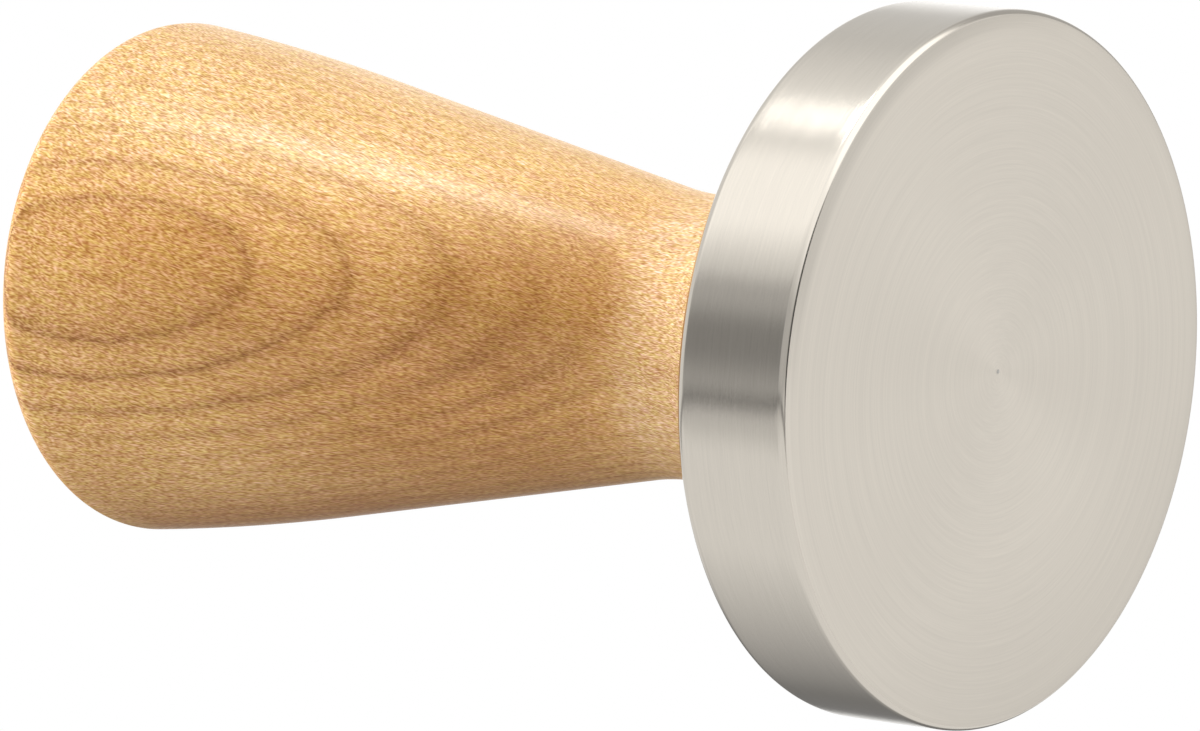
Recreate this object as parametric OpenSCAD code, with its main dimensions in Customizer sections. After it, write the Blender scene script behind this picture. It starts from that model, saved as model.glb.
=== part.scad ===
// Espresso tamper with a screw-on wooden handle.
// Millimetres. The tamper stands on its tamping face: the origin is the centre of that face
// and +Z runs up the axis to the end of the handle.

/* [Base] */
// Diameter of the steel base, to suit a 58 mm basket
base_d = 58; // [49:0.5:60]
// Thickness of the base
base_t = 10.8; // [9.5:0.1:16]
// Radius of the polished edge beside the tamping face
face_edge_r = 0.8; // [0.3:0.1:1.5]
// How far that edge turns before the tamping face cuts it off, in degrees
face_edge_turn = 60; // [30:5:80]
// Radius of the edge on the handle side
back_edge_r = 1.2; // [0.4:0.1:2]

/* [Handle] */
// Diameter of the neck, the thinnest place
neck_d = 23.5; // [22:0.5:28]
// Height of the neck above the base
neck_z = 18; // [14:0.5:22]
// Radius of the hollow curve from the neck down to the foot
foot_curve_r = 32; // [28:1:60]
// Radius of the hollow curve from the neck up to the taper
neck_curve_r = 25; // [15:1:40]
// Half angle of the straight taper, in degrees
taper = 11.3; // [8:0.1:12]
// Height above the base where the taper starts to round over
shoulder_z = 55.2; // [45:0.2:60]
// Radius of the shoulder
shoulder_r = 240; // [200:10:400]
// Height above the base of the widest place
widest_z = 74.6; // [70:0.2:80]
// Radius of the edge of the handle's end
end_edge_r = 2; // [1:0.1:5]
// Radius of the crown of the handle's end
crown_r = 150; // [100:5:400]

/* [Screw joint] */
// Nominal diameter of the screw thread
thread_d = 8; // [6:1:8]
// Pitch of the screw thread
thread_pitch = 1.25; // [1:0.25:1.5]
// Full turns that release the handle from the base
turns = 6; // [4:1:6]
// Length of the stud
stud_len = 20; // [18:1:24]
// Width across the flats of the stud's hexagon socket
socket_af = 4; // [3:0.5:4]
// Depth of that socket
socket_depth = 4.5; // [3:0.5:6]
// Radial running clearance between the screw thread and its holes
thread_gap = 0.05; // [0.02:0.01:0.1]

/* [Threaded insert] */
// Diameter of the insert's body, under its wood thread
insert_body_d = 10.8; // [10.4:0.1:11.2]
// Diameter over the insert's wood thread
insert_thread_d = 12.5; // [12:0.1:13.5]
// Pitch of the wood thread
wood_pitch = 2.5; // [2:0.25:3]
// Length of the insert, with its flange
insert_len = 15; // [12:0.5:18]
// Diameter of the flange
flange_d = 16; // [15:0.5:18]
// Thickness of the flange
flange_t = 1.6; // [1:0.1:2]

/* [Hidden] */
fine = 96;
eps = 0.01;

// The shoulder and the crown are so nearly straight that each is turned as short cones.
shoulder_steps = 12;
crown_steps = 12;

base_r = base_d / 2;
neck_r = neck_d / 2;
hole_r = thread_d / 2;
stud_r = hole_r - thread_gap;
thread_depth = 0.61 * thread_pitch;

// The engaged length is what the stud climbs in those turns.
engaged = turns * thread_pitch;
stud_z = base_t - engaged - 0.1;
hole_floor_z = stud_z - 0.6;
drill_r = hole_r - thread_depth;
drill_point_h = drill_r * tan(31);

// A hair of air round the flange lets the insert sink flush into the foot.
flange_gap = 0.1;
insert_z = base_t + flange_gap;
pilot_depth = insert_len + 4;

// Steps along the handle's outline, as [radius, height above the base].
foot_sweep = asin(neck_z / foot_curve_r);
foot = [neck_r + foot_curve_r * (1 - cos(foot_sweep)), 0];
neck = [neck_r, neck_z];
taper_start = neck + neck_curve_r * [1 - cos(taper), sin(taper)];
taper_end = [taper_start.x + tan(taper) * (shoulder_z - taper_start.y), shoulder_z];
shoulder_c = taper_end - shoulder_r * [cos(taper), -sin(taper)];
widest_lean = asin((shoulder_c.y - widest_z) / shoulder_r);
widest = shoulder_c + shoulder_r * [cos(widest_lean), -sin(widest_lean)];
shoulder = [
    for (i = [1 : shoulder_steps])
        let (lean = taper + (widest_lean - taper) * i / shoulder_steps)
        shoulder_c + shoulder_r * [cos(lean), -sin(lean)]
];
end_edge_c = widest - end_edge_r * [cos(widest_lean), -sin(widest_lean)];
crown_sweep = asin(end_edge_c.x / (crown_r - end_edge_r));
crown_edge = end_edge_c + end_edge_r * [sin(crown_sweep), cos(crown_sweep)];
crown_c = [0, crown_edge.y - crown_r * cos(crown_sweep)];
crown = [
    for (i = [1 : crown_steps])
        let (lean = crown_sweep * (1 - i / crown_steps))
        crown_c + crown_r * [sin(lean), cos(lean)]
];

// The flat piece between a chord from p to q and the arc round c that joins them.
// The arc lies on the left of the chord when side is 1, and on its right when side is -1.
module arc_piece(c, r, p, q, side = 1) {
    along = (q - p) / norm(q - p);
    out = side * [-along.y, along.x];
    intersection() {
        translate(c) circle(r = r, $fn = fine);
        polygon([p, q, q + r * out, p + r * out]);
    }
}

// A round bar of rings that stands for a screw thread: crests at r, roots depth deeper.
module thread_rings(r, depth, pitch, z0, z1) {
    count = floor((z1 - z0) / pitch);
    crest = pitch / 8;
    difference() {
        children();
        for (i = [0 : count - 1])
            translate([0, 0, z0 + i * pitch])
                rotate_extrude($fn = fine)
                    polygon([
                        [r - depth, pitch / 2 - crest],
                        [r + eps, crest],
                        [r + eps, pitch - crest],
                        [r - depth, pitch / 2 + crest]
                    ]);
    }
}

module base_outline() {
    face_c = [base_r - face_edge_r, face_edge_r * sin(face_edge_turn)];
    face_rim = face_c + face_edge_r * [cos(face_edge_turn), -sin(face_edge_turn)];
    back_c = [base_r - back_edge_r, base_t - back_edge_r];
    polygon([
        [0, 0],
        face_rim,
        [base_r, face_c.y],
        [base_r, back_c.y],
        [back_c.x, base_t],
        [0, base_t]
    ]);
    arc_piece(face_c, face_edge_r, face_rim, [base_r, face_c.y], -1);
    arc_piece(back_c, back_edge_r, [base_r, back_c.y], [back_c.x, base_t], -1);
}

// Stainless steel disc, turned, with a blind threaded hole in its back.
module tamping_base() {
    mouth = 0.5;
    color([0.78, 0.76, 0.72])
    difference() {
        rotate_extrude($fn = fine) base_outline();
        translate([0, 0, hole_floor_z])
            cylinder(h = base_t, r = hole_r, $fn = fine);
        translate([0, 0, hole_floor_z - drill_point_h])
            cylinder(h = drill_point_h + eps, r1 = 0, r2 = drill_r, $fn = fine);
        translate([0, 0, base_t - mouth])
            cylinder(h = mouth + eps, r1 = hole_r, r2 = hole_r + mouth + eps, $fn = fine);
    }
}

// Socket set screw that joins the handle to the base, with its socket downwards.
module screw_stud() {
    bevel = 0.8;
    color([0.62, 0.63, 0.65])
    translate([0, 0, stud_z])
    thread_rings(stud_r, thread_depth, thread_pitch, bevel, stud_len - bevel)
    difference() {
        rotate_extrude($fn = fine)
            polygon([
                [0, 0],
                [stud_r - bevel, 0],
                [stud_r, bevel],
                [stud_r, stud_len - bevel],
                [stud_r - bevel, stud_len],
                [0, stud_len]
            ]);
        translate([0, 0, -eps])
            cylinder(h = socket_depth + eps, r = socket_af / 2 / cos(30), $fn = 6);
    }
}

// Brass insert, screwed into the wood from below until its flange is flush.
module threaded_insert() {
    body_r = insert_body_d / 2;
    crest_r = insert_thread_d / 2;
    ridges = floor((insert_len - flange_t) / wood_pitch);
    color([0.80, 0.62, 0.30])
    translate([0, 0, insert_z])
    difference() {
        union() {
            cylinder(h = insert_len, r = body_r, $fn = fine);
            cylinder(h = flange_t, r = flange_d / 2, $fn = fine);
            for (i = [0 : ridges - 1])
                translate([0, 0, flange_t + (i + 0.3) * wood_pitch])
                    rotate_extrude($fn = fine)
                        polygon([
                            [body_r - 1, 0],
                            [body_r, 0],
                            [crest_r, 0.4 * wood_pitch],
                            [crest_r, 0.5 * wood_pitch],
                            [body_r, 0.7 * wood_pitch],
                            [body_r - 1, 0.7 * wood_pitch]
                        ]);
        }
        translate([0, 0, -eps])
            cylinder(h = insert_len + 2 * eps, r = hole_r, $fn = fine);
    }
}

// The hollow below the neck is a whole circle cut from a block a little wider than the foot.
module handle_outline() {
    block_x = foot.x + 1;
    difference() {
        polygon([
            [0, 0],
            [block_x, 0],
            [block_x, neck_z],
            neck,
            taper_start,
            taper_end,
            each shoulder,
            crown_edge,
            each crown
        ]);
        translate([neck_r + foot_curve_r, neck_z]) circle(r = foot_curve_r, $fn = fine);
        arc_piece([neck_r + neck_curve_r, neck_z], neck_curve_r, neck, taper_start);
    }
    arc_piece(end_edge_c, end_edge_r, widest, crown_edge, -1);
}

// Turned maple handle, with the pilot hole and the recess for the insert in its foot.
module handle() {
    pilot_r = insert_body_d / 2 + flange_gap;
    color([0.86, 0.67, 0.42])
    translate([0, 0, base_t])
    difference() {
        rotate_extrude($fn = fine) handle_outline();
        translate([0, 0, -eps])
            cylinder(h = flange_t + 2 * flange_gap, r = flange_d / 2 + flange_gap, $fn = fine);
        translate([0, 0, -eps])
            cylinder(h = pilot_depth, r = pilot_r, $fn = fine);
    }
}

tamping_base();
screw_stud();
threaded_insert();
handle();
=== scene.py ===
"""An espresso tamper: a turned steel base screwed to a turned maple handle.

Metres, in the CAD frame: the tamping face is at z = 0 and the axis is +Z. The camera looks up
at the face from below and is rolled on its side, so the handle lies to the left.
"""

import math

import bpy
from mathutils import Matrix, Vector


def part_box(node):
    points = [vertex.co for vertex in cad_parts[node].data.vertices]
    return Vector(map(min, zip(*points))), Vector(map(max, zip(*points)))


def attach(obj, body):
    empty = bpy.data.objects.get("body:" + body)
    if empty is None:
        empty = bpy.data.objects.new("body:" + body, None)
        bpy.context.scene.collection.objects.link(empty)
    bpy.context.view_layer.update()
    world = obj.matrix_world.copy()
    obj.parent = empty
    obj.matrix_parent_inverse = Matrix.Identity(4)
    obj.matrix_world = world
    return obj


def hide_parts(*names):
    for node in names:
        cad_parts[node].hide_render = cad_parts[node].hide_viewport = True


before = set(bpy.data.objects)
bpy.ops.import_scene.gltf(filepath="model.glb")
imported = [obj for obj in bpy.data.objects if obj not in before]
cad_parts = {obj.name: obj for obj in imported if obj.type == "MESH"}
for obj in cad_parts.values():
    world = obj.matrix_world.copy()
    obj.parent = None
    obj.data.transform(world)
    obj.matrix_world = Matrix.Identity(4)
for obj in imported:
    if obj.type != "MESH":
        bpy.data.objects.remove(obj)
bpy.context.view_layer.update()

MM = 0.001
TURN = 2 * math.pi
QUARTER = math.pi / 2

# ------------------------------------------------------------------ sizes
base_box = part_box("tamping_base")
stud_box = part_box("screw_stud")
insert_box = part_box("threaded_insert")

# The base: its face rolls away a little before its rounded edge, and has a mark in its centre.
BASE_R = base_box[1].x
BASE_T = base_box[1].z
FACE_EDGE_R = 0.8 * MM
FACE_EDGE_TURN = math.radians(60)
FACE_ROLL, FACE_ROLL_RISE = 0.9 * MM, 0.05 * MM
MARK_R, MARK_DEPTH = 0.18 * MM, 0.06 * MM
BACK_EDGE_R = 1.2 * MM
HOLE_R = 4 * MM
HOLE_MOUTH = 0.5 * MM
DRILL_POINT = math.radians(31)

# The handle's outline, from its foot to its crown.
NECK_R = 11.75 * MM
NECK_Z = BASE_T + 18 * MM
FOOT_CURVE_R = 32 * MM
NECK_CURVE_R = 25 * MM
TAPER = math.radians(11.3)
SHOULDER_Z = BASE_T + 55.2 * MM
SHOULDER_R = 240 * MM
WIDEST_Z = BASE_T + 74.6 * MM
END_EDGE_R = 2 * MM
CROWN_R = 150 * MM

# The M8 thread.
PITCH = 1.25 * MM
THREAD_DEPTH = 0.61 * PITCH
HOLE_THREAD_DEPTH = 0.25 * MM
# Any thread's flank starts and ends at these shares of the way from a crest to a root, and
# the thread runs out over this share of its pitch.
FLANK_START, FLANK_END = 0.10, 0.85
RUN_OUT = 0.5

# The stud, with a hexagon socket in its lower end, and the hole under it.
STUD_R = 3.95 * MM
STUD_BEVEL = 0.8 * MM
STUD_LOW, STUD_HIGH = stud_box[0].z, stud_box[1].z
HOLE_FLOOR_Z = STUD_LOW - 0.6 * MM
SOCKET_FLATS = 4 * MM
SOCKET_DEPTH = 4.5 * MM
SOCKET_POINT = 0.6 * MM
SOCKET_EDGE, SOCKET_MOUTH = 0.2 * MM, 0.3 * MM
SOCKET_FLOOR_SHARE = 0.85

# The insert, and the pilot hole that it is screwed into.
INSERT_LOW, INSERT_HIGH = insert_box[0].z, insert_box[1].z
INSERT_R = 5.4 * MM
INSERT_CREST_R = 6.25 * MM
WOOD_PITCH = 2.5 * MM
FLANGE_R = 8 * MM
FLANGE_T = 1.6 * MM
FLANGE_BEVEL = 0.3 * MM
FIT_GAP = 0.1 * MM
PILOT_DEPTH = 19 * MM

FINE_SEGMENTS = 288
THREAD_SEGMENTS = 96
STEPS_PER_PITCH = 12


# ------------------------------------------------------------------ outlines, as (radius, z)
def arc(centre, radius, start, end, steps):
    """Points round a centre from one angle to another, counted from outwards towards +Z."""
    return [
        (
            centre[0] + radius * math.cos(start + (end - start) * i / steps),
            centre[1] + radius * math.sin(start + (end - start) * i / steps),
        )
        for i in range(steps + 1)
    ]


def straight(p, q, steps):
    """Points from p to q, both included."""
    return [
        (p[0] + (q[0] - p[0]) * i / steps, p[1] + (q[1] - p[1]) * i / steps)
        for i in range(steps + 1)
    ]


def hexagon(flats):
    """The radius of a hexagon of that width across its flats, as a function of the angle."""
    return lambda angle: flats / 2 / math.cos(angle % (TURN / 6) - TURN / 12)


def thread_row(radius, depth, pitch, z, fade):
    """The radius of a helical thread at height z, as a function of the angle."""
    def at(angle):
        from_crest = 1 - abs(2 * ((z / pitch - angle / TURN) % 1.0) - 1)
        share = (from_crest - FLANK_START) / (FLANK_END - FLANK_START)
        return radius + depth * fade * min(1.0, max(0.0, share))
    return at


def thread(radius, depth, pitch, start, end, run_out=(True, True)):
    """Rows of a thread from z start to z end. A negative depth cuts into a bar, and a
    positive one into the wall of a hole. The thread fades at the ends that run_out names."""
    steps = round(abs(end - start) / pitch * STEPS_PER_PITCH)
    rows = []
    for i in range(steps + 1):
        z = start + (end - start) * i / steps
        fade = 1.0
        if run_out[0]:
            fade = min(fade, abs(z - start) / (RUN_OUT * pitch))
        if run_out[1]:
            fade = min(fade, abs(z - end) / (RUN_OUT * pitch))
        rows.append((thread_row(radius, depth, pitch, z, fade), z))
    return rows


def base_rows():
    """The face with its centre mark, edge, band, back edge, back, and the threaded hole."""
    face_c = (BASE_R - FACE_EDGE_R, FACE_EDGE_R * math.sin(FACE_EDGE_TURN) + FACE_ROLL_RISE)
    back_c = (BASE_R - BACK_EDGE_R, BASE_T - BACK_EDGE_R)
    face_edge = arc(face_c, FACE_EDGE_R, -FACE_EDGE_TURN, 0, steps=10)
    roll = face_roll(face_edge[0][0])
    rows = [(0, MARK_DEPTH), (0.5 * MARK_R, 0.7 * MARK_DEPTH), (MARK_R, 0)]
    rows += straight((2 * MARK_R, 0), roll[0], steps=16)[:-1] + roll[:-1] + face_edge
    rows += straight((BASE_R, face_c[1]), (BASE_R, back_c[1]), steps=10)[1:-1]
    rows += arc(back_c, BACK_EDGE_R, 0, QUARTER, steps=12)
    rows += straight((back_c[0], BASE_T), (HOLE_R + HOLE_MOUTH, BASE_T), steps=10)[1:]
    rows += thread(HOLE_R, HOLE_THREAD_DEPTH, PITCH, BASE_T - HOLE_MOUTH, HOLE_FLOOR_Z)
    drill_r = HOLE_R - THREAD_DEPTH
    return rows + [
        (drill_r, HOLE_FLOOR_Z),
        (0, HOLE_FLOOR_Z - drill_r * math.tan(DRILL_POINT)),
    ]


def face_roll(end_r):
    """The outermost ring of the face, which curves up from flat and ends at radius end_r."""
    turn = 2 * math.atan(FACE_ROLL_RISE / FACE_ROLL)
    radius = FACE_ROLL / math.sin(turn)
    return arc((end_r - FACE_ROLL, radius), radius, -QUARTER, turn - QUARTER, steps=8)


def stud_rows():
    """A set screw with a hexagon socket in its lower end."""
    socket = hexagon(SOCKET_FLATS)
    socket_top = STUD_LOW + SOCKET_DEPTH
    rows = [
        (0, socket_top + SOCKET_POINT),
        (lambda angle: SOCKET_FLOOR_SHARE * socket(angle), socket_top),
        (socket, socket_top - SOCKET_EDGE),
        (socket, STUD_LOW + SOCKET_MOUTH),
        (SOCKET_FLATS / 2 / math.cos(TURN / 12) + SOCKET_EDGE, STUD_LOW),
        (STUD_R - STUD_BEVEL, STUD_LOW),
    ]
    rows += thread(STUD_R, -THREAD_DEPTH, PITCH, STUD_LOW + STUD_BEVEL, STUD_HIGH - STUD_BEVEL)
    return rows + [(STUD_R - STUD_BEVEL, STUD_HIGH), (0, STUD_HIGH)]


def insert_rows():
    """The threaded bore from the top down, the flange, and the wood thread up again."""
    shoulder = INSERT_LOW + FLANGE_T
    depth = INSERT_R - INSERT_CREST_R
    rows = thread(HOLE_R, HOLE_THREAD_DEPTH, PITCH, INSERT_HIGH, INSERT_LOW + HOLE_MOUTH)
    rows += [(HOLE_R + HOLE_MOUTH, INSERT_LOW), (FLANGE_R - FLANGE_BEVEL, INSERT_LOW)]
    rows += [(FLANGE_R, INSERT_LOW + FLANGE_BEVEL), (FLANGE_R, shoulder), (INSERT_R, shoulder)]
    return rows + thread(
        INSERT_CREST_R, depth, WOOD_PITCH, shoulder + FIT_GAP, INSERT_HIGH, (False, False)
    )


def handle_rows():
    """The pilot hole and the recess for the insert, then the outline from foot to crown."""
    waist, taper_end = waist_rows()
    recess = (FLANGE_R + FIT_GAP, BASE_T + FLANGE_T + 2 * FIT_GAP)
    pilot = (INSERT_R + FIT_GAP, BASE_T + PILOT_DEPTH)
    rows = [(0, pilot[1])] + straight(pilot, (pilot[0], recess[1]), steps=12)
    rows += [recess] + straight((recess[0], BASE_T), (waist[0][0], BASE_T), steps=8)[:-1]
    return rows + waist + end_rows(taper_end)


def waist_rows():
    """The foot's flare, the neck and the taper, and the point where the taper ends."""
    foot_c = (NECK_R + FOOT_CURVE_R, NECK_Z)
    foot_sweep = math.asin((NECK_Z - BASE_T) / FOOT_CURVE_R)
    neck_c = (NECK_R + NECK_CURVE_R, NECK_Z)
    rows = arc(foot_c, FOOT_CURVE_R, math.pi + foot_sweep, math.pi, steps=32)
    rows += arc(neck_c, NECK_CURVE_R, math.pi, math.pi - TAPER, steps=12)[1:]
    taper_start = rows[-1]
    taper_end_r = taper_start[0] + math.tan(TAPER) * (SHOULDER_Z - taper_start[1])
    taper_end = (taper_end_r, SHOULDER_Z)
    return rows + straight(taper_start, taper_end, steps=40)[1:], taper_end


def end_rows(taper_end):
    """The shoulder, the rounded edge and the crown, each a curve that runs into the next."""
    shoulder_c = (
        taper_end[0] - SHOULDER_R * math.cos(TAPER),
        taper_end[1] + SHOULDER_R * math.sin(TAPER),
    )
    lean = math.asin((shoulder_c[1] - WIDEST_Z) / SHOULDER_R)
    edge_c = (
        shoulder_c[0] + (SHOULDER_R - END_EDGE_R) * math.cos(lean),
        shoulder_c[1] - (SHOULDER_R - END_EDGE_R) * math.sin(lean),
    )
    crown_sweep = math.asin(edge_c[0] / (CROWN_R - END_EDGE_R))
    crown_c = (0, edge_c[1] - (CROWN_R - END_EDGE_R) * math.cos(crown_sweep))
    rows = arc(shoulder_c, SHOULDER_R, -TAPER, -lean, steps=28)[1:]
    rows += arc(edge_c, END_EDGE_R, -lean, QUARTER - crown_sweep, steps=16)[1:]
    rows += arc(crown_c, CROWN_R, QUARTER - crown_sweep, QUARTER, steps=24)[1:-1]
    return rows + [(0, crown_c[1] + CROWN_R)]


# ------------------------------------------------------------------ meshes
def ring_points(row, segments):
    """One ring of points. A row is (radius, z), and its radius may depend on the angle."""
    radius, z = row
    points = []
    for i in range(segments):
        angle = TURN * i / segments
        r = radius(angle) if callable(radius) else radius
        points.append((r * math.cos(angle), r * math.sin(angle), z))
    return points


def ring_faces(low, high, segments):
    """The quads between two rings, given the index of each ring's first point."""
    return [
        (low + i, low + (i + 1) % segments, high + (i + 1) % segments, high + i)
        for i in range(segments)
    ]


def turned_mesh(name, rows, segments):
    """A closed mesh turned from its outline, which goes from axis to axis or is a loop."""
    closed = rows[0][0] != 0
    rings = rows if closed else rows[1:-1]
    points = [p for row in rings for p in ring_points(row, segments)]
    faces = []
    for k in range(len(rings) - 1):
        faces += ring_faces(k * segments, (k + 1) * segments, segments)
    last = (len(rings) - 1) * segments
    if closed:
        faces += ring_faces(last, 0, segments)
    else:
        first_pole, last_pole = len(points), len(points) + 1
        points += [(0, 0, rows[0][1]), (0, 0, rows[-1][1])]
        for i in range(segments):
            j = (i + 1) % segments
            faces += [(first_pole, j, i), (last + i, last + j, last_pole)]
    mesh = bpy.data.meshes.new(name)
    mesh.from_pydata(points, [], faces)
    mesh.update()
    return mesh


def turned(name, rows, segments, body, node, finishes, finish_of=None, crease=30):
    """A turned piece that rides on a body and stands for a CAD node. finish_of gives the
    index in finishes of each face, from its centre's radius and z and its normal's z."""
    mesh = turned_mesh(name, rows, segments)
    for finish in finishes:
        mesh.materials.append(finish)
    mesh.shade_smooth()
    mesh.set_sharp_from_angle(angle=math.radians(crease))
    if finish_of:
        for face in mesh.polygons:
            radius = math.hypot(face.center.x, face.center.y)
            face.material_index = finish_of(radius, face.center.z, face.normal.z)
    piece = bpy.data.objects.new(name, mesh)
    bpy.context.scene.collection.objects.link(piece)
    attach(piece, body)
    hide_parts(node)


# ------------------------------------------------------------------ materials
# Most of a noise texture's values lie in this range, and those of a smooth one in the next.
NOISE_RANGE = (0.3, 0.7)
SMOOTH_RANGE = (0.35, 0.65)


class Nodes:
    """The node tree of a new material or of the world, with short names for its nodes."""

    def __init__(self, owner):
        owner.use_nodes = True
        self.tree = owner.node_tree
        self.tree.nodes.clear()

    def add(self, kind, inputs=(), **settings):
        """A node of that kind. inputs is a dict of socket name or index to value or link."""
        node = self.tree.nodes.new(kind)
        for key, value in settings.items():
            setattr(node, key, value)
        for key, value in dict(inputs).items():
            self.put(node.inputs[key], value)
        return node

    def put(self, socket, value):
        """Links a socket, or sets its value."""
        if isinstance(value, bpy.types.NodeSocket):
            self.tree.links.new(value, socket)
        else:
            socket.default_value = value

    def math(self, operation, a, b=0.0, c=0.0):
        """Arithmetic on numbers."""
        return self.add("ShaderNodeMath", {0: a, 1: b, 2: c}, operation=operation).outputs[0]

    def product(self, first, *others):
        """All of these numbers multiplied together."""
        for other in others:
            first = self.math("MULTIPLY", first, other)
        return first

    def vector(self, operation, a, b=(0, 0, 0), c=(0, 0, 0)):
        """Arithmetic on vectors. A length and a dot product are numbers."""
        node = self.add("ShaderNodeVectorMath", {0: a, 1: b, 2: c}, operation=operation)
        return node.outputs["Value" if operation in ("LENGTH", "DOT_PRODUCT") else "Vector"]

    def scaled(self, vector, factor):
        """A vector times a number."""
        inputs = {0: vector, "Scale": factor}
        return self.add("ShaderNodeVectorMath", inputs, operation="SCALE").outputs["Vector"]

    def split(self, vector):
        """The x, y and z of a vector."""
        return tuple(self.add("ShaderNodeSeparateXYZ", {0: vector}).outputs)

    def millimetres(self):
        """The point's place on the object, in millimetres."""
        place = self.add("ShaderNodeTexCoord").outputs["Object"]
        return self.scaled(place, 1000)

    def noise(self, place, scales, detail, roughness=0.5):
        """Noise with that many lumps a millimetre in x, y and z."""
        where = self.vector("MULTIPLY", place, scales)
        inputs = {"Vector": where, "Scale": 1.0, "Detail": detail, "Roughness": roughness}
        return self.add("ShaderNodeTexNoise", inputs).outputs["Fac"]

    def ramp(self, value, stops):
        """A colour ramp. stops is a list of (position, colour)."""
        node = self.add("ShaderNodeValToRGB", {"Fac": value})
        elements = node.color_ramp.elements
        while len(elements) < len(stops):
            elements.new(0.5)
        for element, (position, colour) in zip(elements, stops):
            element.position = position
            element.color = (*colour, 1)
        return node.outputs["Color"]

    def shade(self, value, dark, light, ends=NOISE_RANGE):
        """A colour that goes from dark to light as the value goes over that range."""
        return self.ramp(value, [(ends[0], dark), (ends[1], light)])

    def spread(self, value, low, high, to_low=0.0, to_high=1.0):
        """Maps low...high to to_low...to_high, and no further."""
        node = self.add(
            "ShaderNodeMapRange",
            {"Value": value, 1: low, 2: high, 3: to_low, 4: to_high},
            clamp=True,
        )
        return node.outputs[0]

    def mix(self, share, a, b, blend="MIX"):
        """Mixes two colours. Each is a link or its red, green and blue."""
        node = self.add("ShaderNodeMix", {0: share}, data_type="RGBA", blend_type=blend)
        for socket, colour in ((6, a), (7, b)):
            opaque = (*colour, 1) if isinstance(colour, tuple) else colour
            self.put(node.inputs[socket], opaque)
        return node.outputs[2]

    def tint(self, colour, share, factor):
        """Multiplies a colour by another, as far as share says."""
        return self.mix(share, colour, factor, "MULTIPLY")

    def bump(self, height, distance):
        """The normal of a surface that rises by that distance as height goes from 0 to 1."""
        inputs = {"Height": height, "Distance": distance, "Strength": 1.0}
        return self.add("ShaderNodeBump", inputs).outputs["Normal"]

    def around_axis(self):
        """The tangent that runs round +Z, for turned and brushed metal."""
        node = self.add("ShaderNodeTangent", direction_type="RADIAL", axis="Z")
        return node.outputs[0]

    def surface(self, **inputs):
        """The Principled shader, as the output's surface. Names use _ for a space."""
        names = {key.replace("_", " "): value for key, value in inputs.items()}
        shader = self.add("ShaderNodeBsdfPrincipled", names)
        output = self.add("ShaderNodeOutputMaterial")
        self.tree.links.new(shader.outputs[0], output.inputs["Surface"])


def grey(value):
    """A colour with the same red, green and blue."""
    return (value, value, value)


def dimmed(colour, factor):
    """A colour times a number."""
    return tuple(factor * part for part in colour)


STEEL = (0.80, 0.745, 0.66)
# The share of a turn by which a highlight is turned, so that it stretches across the marks.
ACROSS_MARKS = 0.25

# The tamping face has rings and, over them, arcs that are twice as wide. The shares are
# theirs in the tone.
RINGS_PER_MM, ARCS_PER_RADIAN = 8.5, 1.6
RING_SHARE, ARC_SHARE = 0.4, 0.6
# The face has painted shade on its far side from the key light, towards -X, and along its rim
# towards +X and -Y. A range is in millimetres, and goes from none of the shade to all of it.
FAR_ALONG, FAR_RANGE, FAR_SHADE = (1, -0.6, 0), (-16, -34), grey(0.89)
RIM_RADII, RIM_YS, RIM_XS, RIM_SHADE = (26.9, 28.0), (5, -12), (-5, 5), grey(0.84)


def face_finish():
    """Fine concentric turning on the tamping face."""
    finish = bpy.data.materials.new("turned_face")
    n = Nodes(finish)
    place = n.millimetres()
    flat = n.vector("MULTIPLY", place, (1, 1, 0))
    radius = n.vector("LENGTH", flat)
    rings = n.add("ShaderNodeCombineXYZ", {0: n.product(radius, RINGS_PER_MM)}).outputs[0]
    marks = n.noise(rings, (1, 1, 1), detail=6, roughness=0.7)
    around = n.vector("NORMALIZE", flat)
    turn_scale = (ARCS_PER_RADIAN, ARCS_PER_RADIAN, 0)
    part_rings = n.vector("MULTIPLY_ADD", around, turn_scale, n.scaled(rings, 0.5))
    arcs = n.noise(part_rings, (1, 1, 1), detail=5, roughness=0.75)
    tone = n.math("ADD", n.product(marks, RING_SHARE), n.product(arcs, ARC_SHARE))
    n.surface(
        # Painted shade darkens the face on its far side and along part of its rim.
        Base_Color=with_painted_shade(n, place, radius, n.shade(tone, dimmed(STEEL, 0.86), STEEL)),
        Metallic=1.0,
        Roughness=n.spread(marks, *NOISE_RANGE, 0.34, 0.42),
        Anisotropic=0.7,
        Anisotropic_Rotation=ACROSS_MARKS,
        Tangent=n.around_axis(),
        Normal=n.bump(marks, 0.004 * MM),
    )
    return finish


def with_painted_shade(n, place, radius, metal):
    """The face's metal, darkened by painted shade on one side and along a part of the rim."""
    x, y = n.split(place)[:2]
    far = n.spread(n.vector("DOT_PRODUCT", place, FAR_ALONG), *FAR_RANGE)
    rim = n.product(n.spread(radius, *RIM_RADII), n.spread(y, *RIM_YS), n.spread(x, *RIM_XS))
    return n.tint(n.tint(metal, far, FAR_SHADE), rim, RIM_SHADE)


def band_finish():
    """Brushing round the band."""
    finish = bpy.data.materials.new("brushed_band")
    n = Nodes(finish)
    place = n.millimetres()
    lines = n.noise(place, (0.06, 0.06, 9), detail=6, roughness=0.75)
    dashes = n.noise(place, (0.5, 0.5, 16), detail=3, roughness=0.6)
    tone = n.math("ADD", n.product(lines, 0.6), n.product(dashes, 0.4))
    n.surface(
        Base_Color=n.shade(tone, dimmed(STEEL, 0.90), STEEL),
        Metallic=1.0,
        Roughness=n.spread(tone, *NOISE_RANGE, 0.11, 0.17),
        Anisotropic=0.85,
        Anisotropic_Rotation=ACROSS_MARKS,
        Tangent=n.around_axis(),
        Normal=n.bump(tone, 0.006 * MM),
    )
    return finish


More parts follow.
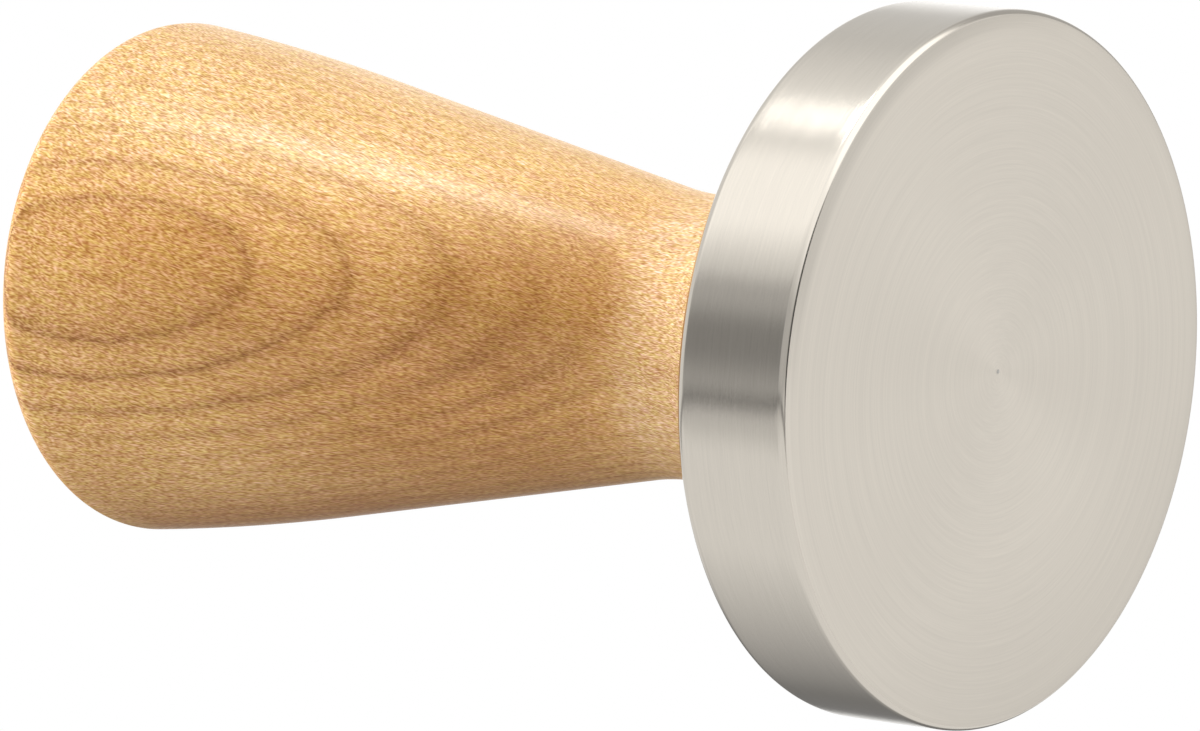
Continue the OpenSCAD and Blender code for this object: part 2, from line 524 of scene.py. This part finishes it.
def edge_finish():
    """The polished edges, with traces of the turning."""
    finish = bpy.data.materials.new("polished_edge")
    n = Nodes(finish)
    lines = n.noise(n.millimetres(), (0.1, 0.1, 12), detail=4, roughness=0.6)
    n.surface(
        Base_Color=n.shade(lines, dimmed(STEEL, 0.94), STEEL),
        Metallic=1.0,
        Roughness=n.spread(lines, *NOISE_RANGE, 0.10, 0.16),
    )
    return finish


def metal_finish(name, dark, light, rough, marks_per_mm):
    """A plain machined metal with cutting marks round the axis."""
    finish = bpy.data.materials.new(name)
    n = Nodes(finish)
    marks = n.noise(n.millimetres(), (0.4, 0.4, marks_per_mm), detail=4, roughness=0.65)
    n.surface(
        Base_Color=n.shade(marks, dark, light),
        Metallic=1.0,
        Roughness=n.spread(marks, *NOISE_RANGE, rough - 0.06, rough + 0.08),
        Normal=n.bump(marks, 0.01 * MM),
    )
    return finish


# Growth rings are counted from the innermost one on the front of the handle. The count is
# this polynomial of x / 10 mm and of the height over 60 mm / 10 mm, and it grows by one each
# RING_STEP millimetres from front to back.
RING_STEP = 1.8
RINGS = {"one": 10.18, "x": -0.30, "xx": 0.04, "z": 0.34, "zz": 0.15, "xz": 0.20}
RING_BEND, RING_WOBBLE = 0.3, 0.16
# Every ring line lies a little further out than the polynomial says, and the innermost one
# more than the others. The shift goes from the one to the other over this range of the count.
SHIFT_RANGE, RING_SHIFTS = (0.46, 1.06), (0.49, 0.17)


def ring_count(n, place):
    """The growth ring that a point of the handle lies in, with bends and small wobbles."""
    x, y, z = n.split(place)
    x = n.product(x, 0.1)
    z = n.math("MULTIPLY_ADD", z, 0.1, -6.0)
    across = n.math("MULTIPLY_ADD", x, RINGS["xx"], RINGS["x"])
    across = n.math("MULTIPLY_ADD", z, RINGS["xz"], across)
    along = n.math("MULTIPLY_ADD", z, RINGS["zz"], RINGS["z"])
    count = n.math("MULTIPLY_ADD", x, across, RINGS["one"])
    count = n.math("MULTIPLY_ADD", z, along, count)
    count = n.math("MULTIPLY_ADD", y, 1 / RING_STEP, count)
    bend = n.noise(place, (0.12, 0.12, 0.07), detail=3)
    wobble = n.noise(place, (0.5, 0.5, 0.22), detail=3)
    count = n.math("MULTIPLY_ADD", bend, RING_BEND, count)
    count = n.math("MULTIPLY_ADD", wobble, RING_WOBBLE, count)
    return n.math("SUBTRACT", count, n.spread(count, *SHIFT_RANGE, *RING_SHIFTS))


# How dark the wood is through one growth ring. In the crisp rings the late wood is a thin
# line, and in the broad ones it fades over much of the ring.
CRISP_RING = [
    (0.0, 0.85), (0.04, 0.45), (0.12, 0.12), (0.25, 0.0), (0.50, 0.0), (0.75, 0.16),
    (0.90, 0.50), (0.97, 1.0),
]
BROAD_RING = [
    (0.0, 0.62), (0.12, 0.36), (0.30, 0.06), (0.45, 0.0), (0.65, 0.20), (0.85, 0.62),
    (0.95, 0.75),
]
# The rings go from crisp to broad over these ranges of the count and of y.
BROAD_COUNTS, BROAD_YS = (1.4, 2.3), (0, -8)
# How clearly the lines show on the front: over a range of x, z or the count, from one
# strength to the other. Inside an ellipse above the neck they are stronger.
UPPER_SHOWING, LOWER_SHOWING = (12, 2, 0.4, 1.0), (-16, -10, 0.3, 1.0)
NECK_SHOWING, OUTER_SHOWING = (34, 58, 0.70, 1.0), (1.8, 3.2, 1.0, 0.65)
STROKES_AT, STROKES_SIZE, STROKES_SHOWING = (-5, 40), (5, 9), (1.25, 0.4, 1.0, 1.75)
# How clearly they show elsewhere, and where the front gives way to it.
FRONT_PATCHES, OTHER_PATCHES, OTHER_YS = (0.6, 1.0), (0.35, 0.70), (-12, 5)


def late_wood(n, place, count):
    """How dark the ring lines are. On the front they are broad from the third one on."""
    y = n.split(place)[1]
    share = n.math("FRACT", count)
    crisp, broad = (
        n.ramp(share, [(position, grey(dark)) for position, dark in stops])
        for stops in (CRISP_RING, BROAD_RING)
    )
    softness = n.product(n.spread(count, *BROAD_COUNTS), n.spread(y, *BROAD_YS))
    return n.mix(softness, crisp, broad)


def ring_strength(n, place, count, patches):
    """How clearly the ring lines show: unevenly, and on the front more in some places."""
    x, y, z = n.split(place)
    front = n.product(
        n.spread(x, *UPPER_SHOWING),
        n.spread(x, *LOWER_SHOWING),
        n.spread(patches, *SMOOTH_RANGE, *FRONT_PATCHES),
        n.spread(z, *NECK_SHOWING),
        n.spread(count, *OUTER_SHOWING),
        n.spread(ellipse(n, place, STROKES_AT, STROKES_SIZE), *STROKES_SHOWING),
    )
    elsewhere = n.spread(patches, *SMOOTH_RANGE, *OTHER_PATCHES)
    change = n.math("SUBTRACT", elsewhere, front)
    return n.math("MULTIPLY_ADD", change, n.spread(y, *OTHER_YS), front)


def ellipse(n, place, centre, radii):
    """How far a point is from the middle of an ellipse in x and z. It is 1 on its edge."""
    scale = (1 / radii[0], 0, 1 / radii[1])
    shift = (-centre[0] / radii[0], 0, -centre[1] / radii[1])
    return n.vector("LENGTH", n.vector("MULTIPLY_ADD", place, scale, shift))


# The fibres lean a little, so they turn about the axis as they climb: radians a millimetre.
GRAIN_TWIST = -0.0083
# They sway by up to about half of SWAY millimetres.
SWAYS_PER_MM, SWAY = 0.3, 0.4
# They follow the taper: over these heights, they are drawn wider and wider across.
TAPER_HEIGHTS, TAPER_SCALES = (32, 85), (1.0, 0.55)


def grain_place(n, place):
    """The place that the fibres are drawn at, so that they run along the handle's side."""
    z = n.split(place)[2]
    weave = n.add("ShaderNodeTexNoise", {"Vector": place, "Scale": SWAYS_PER_MM, "Detail": 1.0})
    sway = n.scaled(n.vector("SUBTRACT", weave.outputs["Color"], (0.5, 0.5, 0.5)), SWAY)
    narrow = n.spread(z, *TAPER_HEIGHTS, *TAPER_SCALES)
    narrow = n.add("ShaderNodeCombineXYZ", {0: narrow, 1: narrow, 2: 1.0}).outputs[0]
    straight_grain = n.vector("MULTIPLY", n.vector("ADD", place, sway), narrow)
    inputs = {"Vector": straight_grain, "Angle": n.product(z, GRAIN_TWIST)}
    return n.add("ShaderNodeVectorRotate", inputs, rotation_type="Z_AXIS").outputs[0]


# The maple's ground colour, its darker figure above the neck, and its late wood.
MAPLE_DARK, MAPLE_LIGHT = (0.585, 0.320, 0.097), (0.66, 0.380, 0.128)
FIGURE, LATE = (0.38, 0.185, 0.045), (0.27, 0.105, 0.020)
# What multiplies the ground colour in some places. Painted light makes the upper side, the one
# towards +X as the handle lies in the main view, paler; painted shade darkens the underside and
# a painted shadow the lowest strip; the heart is the wood inside the innermost ring line; and a
# painted highlight makes the foot paler in front.
UPPER_SIDE_LIGHT, UNDERSIDE_SHADE, LOWEST_SHADOW = (0.98, 1.09, 1.30), (0.82, 0.72, 0.62), (0.78, 0.66, 0.56)
HEART, FOOT_HIGHLIGHT = (0.85, 0.79, 0.71), (1.0, 1.11, 1.45)
# Where they are. An ellipse has a middle and a size in x and z, and an edge from none of its
# colour to the most of it, as a share of its size. A range of x, y or z goes the same way.
FIGURE_AT, FIGURE_SIZE, FIGURE_EDGE = (2, 38), (7, 16), (1.35, 0.35, 0.0, 0.9)
FIGURE_ZS = (25, 32)
HEART_AT, HEART_SIZE, HEART_EDGE, HEART_YS = (-1, 69), (9, 16), (1.25, 0.4), (-6, -12)
UPPER_XS = (4, 12)
UNDERSIDE_XS, UNDERSIDE_ZS, UNDERSIDE_END_ZS = (2, -4), (28, 40), (68, 50)
FOOT_ZS, FOOT_YS = (32.0, 28.5), (-2, -9)
# The lowest strip of painted shadow has its range across in x as a share of the radius.
LOWEST_SHARES, LOWEST_ZS, LOWEST_END_ZS = (-0.88, -0.985), (50, 60), (85.5, 82)


def maple_ground(n, place, patches):
    """The wood without its rings and fibres: a darker figure above the neck, painted light on
    the upper side, painted shade on the underside, a painted shadow along the lowest strip, and
    a painted highlight on the foot."""
    x, y, z = n.split(place)
    wood = n.shade(patches, MAPLE_DARK, MAPLE_LIGHT, SMOOTH_RANGE)
    figure = n.spread(ellipse(n, place, FIGURE_AT, FIGURE_SIZE), *FIGURE_EDGE)
    wood = n.mix(n.product(figure, n.spread(z, *FIGURE_ZS)), wood, FIGURE)
    # Painted light: the upper side, towards +X, is paler and cooler where the light falls on
    # it.
    wood = n.tint(wood, n.spread(x, *UPPER_XS), UPPER_SIDE_LIGHT)
    # Painted shade darkens the underside, towards -X, between the neck and the shoulder.
    underside_shade = n.product(
        n.spread(x, *UNDERSIDE_XS), n.spread(z, *UNDERSIDE_ZS), n.spread(z, *UNDERSIDE_END_ZS)
    )
    wood = n.tint(wood, underside_shade, UNDERSIDE_SHADE)
    heart = n.spread(ellipse(n, place, HEART_AT, HEART_SIZE), *HEART_EDGE)
    wood = n.tint(wood, n.product(heart, n.spread(y, *HEART_YS)), HEART)
    # A painted highlight pales the foot below the neck, in front.
    wood = n.tint(wood, n.product(n.spread(z, *FOOT_ZS), n.spread(y, *FOOT_YS)), FOOT_HIGHLIGHT)
    # A painted shadow darkens the lowest strip, towards -X, up to the wide end.
    radius = n.vector("LENGTH", n.vector("MULTIPLY", place, (1, 1, 0)))
    lowest_shadow = n.product(
        n.spread(n.math("DIVIDE", x, radius), *LOWEST_SHARES),
        n.spread(z, *LOWEST_ZS),
        n.spread(z, *LOWEST_END_ZS),
    )
    return n.tint(wood, lowest_shadow, LOWEST_SHADOW)


# What the fibres multiply the colour by: short dashes, as (value, factor), then long fibres
# and changes of hue, each from a dark factor to a light one.
DASHES = [(0.22, (0.64, 0.47, 0.29)), (0.5, (1.0, 1.0, 1.0)), (0.78, (1.36, 1.60, 2.4))]
FIBRES = (0.90, 0.86, 0.80), (1.06, 1.09, 1.14)
HUES = (0.97, 1.03, 0.80), (1.03, 0.97, 1.22)
# Light dashes break the ring lines up: the range of a dash's value, and how much shows.
LATE_DASHES = (0.35, 0.62, 1.0, 0.72)


def maple_finish():
    """Oiled maple: growth rings over the ground colour, and short fine fibres over both."""
    finish = bpy.data.materials.new("oiled_maple")
    n = Nodes(finish)
    place = n.millimetres()
    patches = n.noise(place, (0.10, 0.10, 0.04), detail=2)
    grain = grain_place(n, place)
    dashes = n.noise(grain, (14, 14, 1.9), detail=0)
    fibres = n.noise(grain, (4.4, 4.4, 0.16), detail=2, roughness=0.6)
    hues = n.noise(grain, (5.8, 5.8, 0.9), detail=1)

    count = ring_count(n, place)
    late = n.product(
        late_wood(n, place, count),
        ring_strength(n, place, count, patches),
        n.spread(dashes, *LATE_DASHES),
    )
    wood = n.mix(late, maple_ground(n, place, patches), LATE)
    wood = n.tint(wood, 1.0, n.ramp(dashes, DASHES))
    wood = n.tint(wood, 1.0, n.shade(fibres, *FIBRES, SMOOTH_RANGE))
    wood = n.tint(wood, 1.0, n.shade(hues, *HUES, SMOOTH_RANGE))
    n.surface(
        Base_Color=wood,
        Roughness=n.spread(dashes, *NOISE_RANGE, 0.50, 0.40),
        Normal=n.bump(dashes, 0.02 * MM),
        Specular_IOR_Level=0.2,
        Coat_Weight=0.5,
        Coat_Roughness=0.26,
    )
    return finish


# ------------------------------------------------------------------ the pieces
# Each metal's dark and light colours, its roughness and its cutting marks a millimetre.
ZINC_STEEL = (0.40, 0.40, 0.41), (0.62, 0.62, 0.62), 0.32, 6
BRASS = (0.62, 0.40, 0.13), (0.86, 0.62, 0.26), 0.28, 6
CUT_STEEL = (0.42, 0.41, 0.39), (0.60, 0.58, 0.54), 0.34, 8
# The normal's z is over the first of these on the face and the back, and under the second on
# the band.
FLAT_NORMAL_Z, BAND_NORMAL_Z = 0.99, 0.05
ABOVE_FACE_Z = 0.5 * MM
THREAD_CREASE = 50


def base_finish_of(radius, z, normal_z):
    """0 the face and the back, 1 the band, 2 the rounded edges, 3 the hole and the mark."""
    in_mark = radius < MARK_R
    in_hole = radius < HOLE_R + HOLE_MOUTH and z > ABOVE_FACE_Z
    if in_mark or in_hole:
        return 3
    if abs(normal_z) > FLAT_NORMAL_Z:
        return 0
    return 1 if abs(normal_z) < BAND_NORMAL_Z else 2


def build_pieces():
    """The four pieces, each in place of its CAD node."""
    zinc_steel = metal_finish("zinc_steel", *ZINC_STEEL)
    brass = metal_finish("turned_brass", *BRASS)
    bore = metal_finish("cut_steel", *CUT_STEEL)
    turned(
        "steel_base", base_rows(), FINE_SEGMENTS, "base", "tamping_base",
        [face_finish(), band_finish(), edge_finish(), bore], base_finish_of,
    )
    turned(
        "stud", stud_rows(), THREAD_SEGMENTS, "stud", "screw_stud",
        [zinc_steel], crease=THREAD_CREASE,
    )
    turned(
        "insert", insert_rows(), THREAD_SEGMENTS, "handle", "threaded_insert",
        [brass], crease=THREAD_CREASE,
    )
    turned(
        "maple_handle", handle_rows(), FINE_SEGMENTS, "handle", "handle",
        [maple_finish()],
    )


# ------------------------------------------------------------------ camera, light and floor
# The camera stands below the face, looks up at it and is rolled about its line of sight.
CAMERA_RISE = math.radians(-37)
CAMERA_ROLL = math.radians(-83.2)
LENS_MM, SENSOR_MM = 270, 36
# How far the middle of the tamping face is from the camera: to the right, down and ahead.
FACE_RIGHT, FACE_DOWN, FACE_AHEAD = 31.83 * MM, 0.48 * MM, 719.5 * MM


def build_camera():
    """A long lens below the face. The face's centre is right of the view's middle."""
    ahead = Vector((0, math.cos(CAMERA_RISE), -math.sin(CAMERA_RISE)))
    level_up = Vector((0, math.sin(CAMERA_RISE), math.cos(CAMERA_RISE)))
    level_right = Vector((1, 0, 0))
    right = level_right * math.cos(CAMERA_ROLL) + level_up * math.sin(CAMERA_ROLL)
    up = level_up * math.cos(CAMERA_ROLL) - level_right * math.sin(CAMERA_ROLL)
    data = bpy.data.cameras.new("camera")
    data.lens = LENS_MM
    data.sensor_width = SENSOR_MM
    data.clip_start, data.clip_end = 0.01, 20
    camera = bpy.data.objects.new("camera", data)
    bpy.context.scene.collection.objects.link(camera)
    place = up * FACE_DOWN - right * FACE_RIGHT - ahead * FACE_AHEAD
    axes = Matrix((right, up, -ahead)).transposed()
    camera.matrix_world = Matrix.Translation(place) @ axes.to_4x4()
    bpy.context.scene.camera = camera


def direction(azimuth, rise):
    """The unit vector towards that azimuth, from -Y towards +X, and elevation, in degrees."""
    a, e = math.radians(azimuth), math.radians(rise)
    return Vector((math.sin(a) * math.cos(e), -math.cos(a) * math.cos(e), math.sin(e)))


TARGET = Vector((0, 0, 0.035))
LIGHT_DISTANCE = 1.0
# Each light's azimuth and elevation in degrees, its size in metres, its brightness, and
# whether it mirrors in what it lights.
LIGHTS = {
    "key": (82, -6, (0.6, 0.6), 8.3, False),
    "fill": (-20, 10, (0.8, 0.8), 2.4, False),
    "streak": (73, 17, (0.20, 0.30), 11.0, True),
    "top": (0, 72, (0.6, 0.6), 10.0, False),
}


def softbox(name, azimuth, rise, size, radiance, glossy):
    """An area light of that radiance, which the camera itself doesn't see."""
    towards = direction(azimuth, rise)
    data = bpy.data.lights.new(name, "AREA")
    data.shape = "RECTANGLE"
    data.size, data.size_y = size
    data.energy = radiance * math.pi * size[0] * size[1]
    light = bpy.data.objects.new(name, data)
    bpy.context.scene.collection.objects.link(light)
    light.location = TARGET + towards * LIGHT_DISTANCE
    light.rotation_mode = "QUATERNION"
    light.rotation_quaternion = towards.to_track_quat("Z", "Y")
    light.visible_camera = False
    light.visible_glossy = glossy


# The studio's walls and panels, each by the azimuths where it starts and ends, in degrees
# from -Y towards +X, and its brightness. The brightness changes evenly from each to the next,
# and the wall behind closes the round.
BEHIND, BEHIND_BELOW = 1.2, 0.95
WALLS = {
    "end of the wall behind": (-172, -170, 1.05),
    "dark corner behind": (-160, -140, 0.2),
    "left wall": (-70, -35, 0.8),
    "left wall's front edge": (-28, -21, 0.6),
    "shade beside it": (-20, -14, 0.4),
    "dark corner in front": (-5, 5, 0.25),
    "shade beside the panel": (12, 18, 0.45),
    "front panel's soft edge": (22, 24, 0.75),
    "front panel": (38, 61, 1.2),
    "gap between the panels": (70, 73, 0.85),
    "right panel": (78, 80, 1.1),
    "right wall": (88, 90, 0.9),
    "far right wall": (118, 145, 0.65),
    "start of the wall behind": (168, 172, 1.25),
}
WALLS_BELOW = {
    "left wall": (-150, -30, 0.8),
    "dark corner in front": (-14, 12, 0.5),
    "right wall": (40, 105, 1.15),
    "far right wall": (120, 160, 0.8),
}
# These heights are of a unit vector's z. One studio gives way to the other over the first
# range, and to an even ceiling over the second.
WALL_RISES, CEILING_RISES, CEILING = (0.05, 0.20), (0.77, 0.86), 0.75
# A dimmer stretch along the horizon, behind on the right, by |z|, y and x.
HORIZON_RISES, HORIZON_YS, HORIZON_XS, HORIZON = (0.42, 0.25), (0.2, 0.6), (-0.3, 0.0), 0.45
# A thin dark upright sheet in front, left of the middle, by its distance in x and by y.
SHEET_X, SHEET_WIDTHS, SHEET_YS, SHEET = -0.27, (0.045, 0.015), (0.05, -0.05), 0.20
# Round patches: the direction, the radii in degrees where they are full and where they are
# gone, and the brightness. A panel low on the right, a glow low behind, and the dark below.
PANEL = (direction(88, -26), 24, 34, 1.50)
GLOW = (direction(180, -60), 8, 16, 1.30)
DARK_BELOW = (Vector((0.11, -0.11, -0.988)).normalized(), 16, 23, 0.08)
# How much of the studio's brightness lights matt surfaces. Mirrors show all of it.
DIFFUSE_SHARE = 0.6


def round_patch(n, where, colour, patch):
    """Lays a round patch over the studio's colour."""
    towards, full, gone, brightness = patch
    near = n.vector("DOT_PRODUCT", where, towards)
    ends = math.cos(math.radians(gone)), math.cos(math.radians(full))
    return n.mix(n.spread(near, *ends), colour, grey(brightness))


def wall_stops(parts, behind):
    """The brightness round the studio, as the stops of a ramp from azimuth -180 to 180."""
    levels = [(-180, behind)]
    for start, end, level in parts.values():
        levels += [(start, level), (end, level)]
    levels.append((180, behind))
    return [((degrees + 180) / 360, grey(level)) for degrees, level in levels]


def walls(n, x, y):
    """The studio above and below the horizon, by azimuth."""
    azimuth = n.math("ARCTAN2", x, n.product(y, -1.0))
    share = n.math("MULTIPLY_ADD", azimuth, 1 / TURN, 0.5)
    above = n.ramp(share, wall_stops(WALLS, BEHIND))
    below = n.ramp(share, wall_stops(WALLS_BELOW, BEHIND_BELOW))
    return above, below


def studio_glow(n):
    """The brightness of the studio in each direction."""
    where = n.add("ShaderNodeTexCoord").outputs["Generated"]
    x, y, z = n.split(where)
    above, below = walls(n, x, y)
    colour = n.mix(n.spread(z, *WALL_RISES), below, above)
    colour = n.mix(n.spread(z, *CEILING_RISES), colour, grey(CEILING))
    horizon = n.product(
        n.spread(n.math("ABSOLUTE", z), *HORIZON_RISES),
        n.spread(y, *HORIZON_YS),
        n.spread(x, *HORIZON_XS),
    )
    colour = n.mix(horizon, colour, grey(HORIZON))
    colour = round_patch(n, where, colour, PANEL)
    from_sheet = n.math("ABSOLUTE", n.math("SUBTRACT", x, SHEET_X))
    sheet = n.product(n.spread(from_sheet, *SHEET_WIDTHS), n.spread(y, *SHEET_YS))
    colour = n.mix(sheet, colour, grey(SHEET))
    colour = round_patch(n, where, colour, GLOW)
    return round_patch(n, where, colour, DARK_BELOW)


def build_light():
    """White behind the object, the studio all round it, and four soft lights."""
    world = bpy.data.worlds.new("studio")
    bpy.context.scene.world = world
    n = Nodes(world)
    path = n.add("ShaderNodeLightPath").outputs
    colour = n.mix(path["Is Camera Ray"], studio_glow(n), grey(1.0))
    strength = n.spread(path["Is Diffuse Ray"], 0, 1, 1.0, DIFFUSE_SHARE)
    sky = n.add("ShaderNodeBackground", {"Color": colour, "Strength": strength})
    output = n.add("ShaderNodeOutputWorld")
    n.tree.links.new(sky.outputs[0], output.inputs["Surface"])
    bpy.context.scene.view_settings.view_transform = "Standard"
    for name, settings in LIGHTS.items():
        softbox(name, *settings)


FLOOR_R, FLOOR_RINGS, FLOOR_SEGMENTS = 0.45, 12, 64
FLOOR_FADE = (0.12, 0.40)
FLOOR_COLOUR = (0.93, 0.93, 0.92, 1)
FLOOR_DROP = 0.2 * MM


def floor_mesh():
    """A round flat sheet whose front side is up."""
    points = [(0, 0, 0)]
    for k in range(FLOOR_RINGS):
        points += ring_points((FLOOR_R * (k + 1) / FLOOR_RINGS, 0), FLOOR_SEGMENTS)
    faces = [(0, 1 + i, 1 + (i + 1) % FLOOR_SEGMENTS) for i in range(FLOOR_SEGMENTS)]
    for k in range(FLOOR_RINGS - 1):
        low, high = 1 + k * FLOOR_SEGMENTS, 1 + (k + 1) * FLOOR_SEGMENTS
        faces += [face[::-1] for face in ring_faces(low, high, FLOOR_SEGMENTS)]
    mesh = bpy.data.meshes.new("floor")
    mesh.from_pydata(points, [], faces)
    return mesh


def floor_finish():
    """Matt and pale. It is clear from below, and fades out round the object."""
    finish = bpy.data.materials.new("pale_floor")
    n = Nodes(finish)
    away = n.vector("LENGTH", n.add("ShaderNodeTexCoord").outputs["Object"])
    from_below = n.add("ShaderNodeNewGeometry").outputs["Backfacing"]
    clear = n.math("MAXIMUM", n.spread(away, *FLOOR_FADE), from_below)
    matt = n.add("ShaderNodeBsdfDiffuse", {"Color": FLOOR_COLOUR})
    nothing = n.add("ShaderNodeBsdfTransparent")
    both = n.add("ShaderNodeMixShader", {0: clear, 1: matt.outputs[0], 2: nothing.outputs[0]})
    output = n.add("ShaderNodeOutputMaterial")
    n.tree.links.new(both.outputs[0], output.inputs["Surface"])
    return finish


def build_floor():
    """The floor. Only the camera sees it, so it mirrors in nothing and lights nothing."""
    mesh = floor_mesh()
    mesh.materials.append(floor_finish())
    floor = bpy.data.objects.new("floor", mesh)
    bpy.context.scene.collection.objects.link(floor)
    floor.location = (0, 0, -FLOOR_DROP)
    floor.visible_diffuse = False
    floor.visible_glossy = False
    floor.visible_transmission = False
    floor.visible_shadow = False


build_pieces()
build_camera()
build_light()
build_floor()
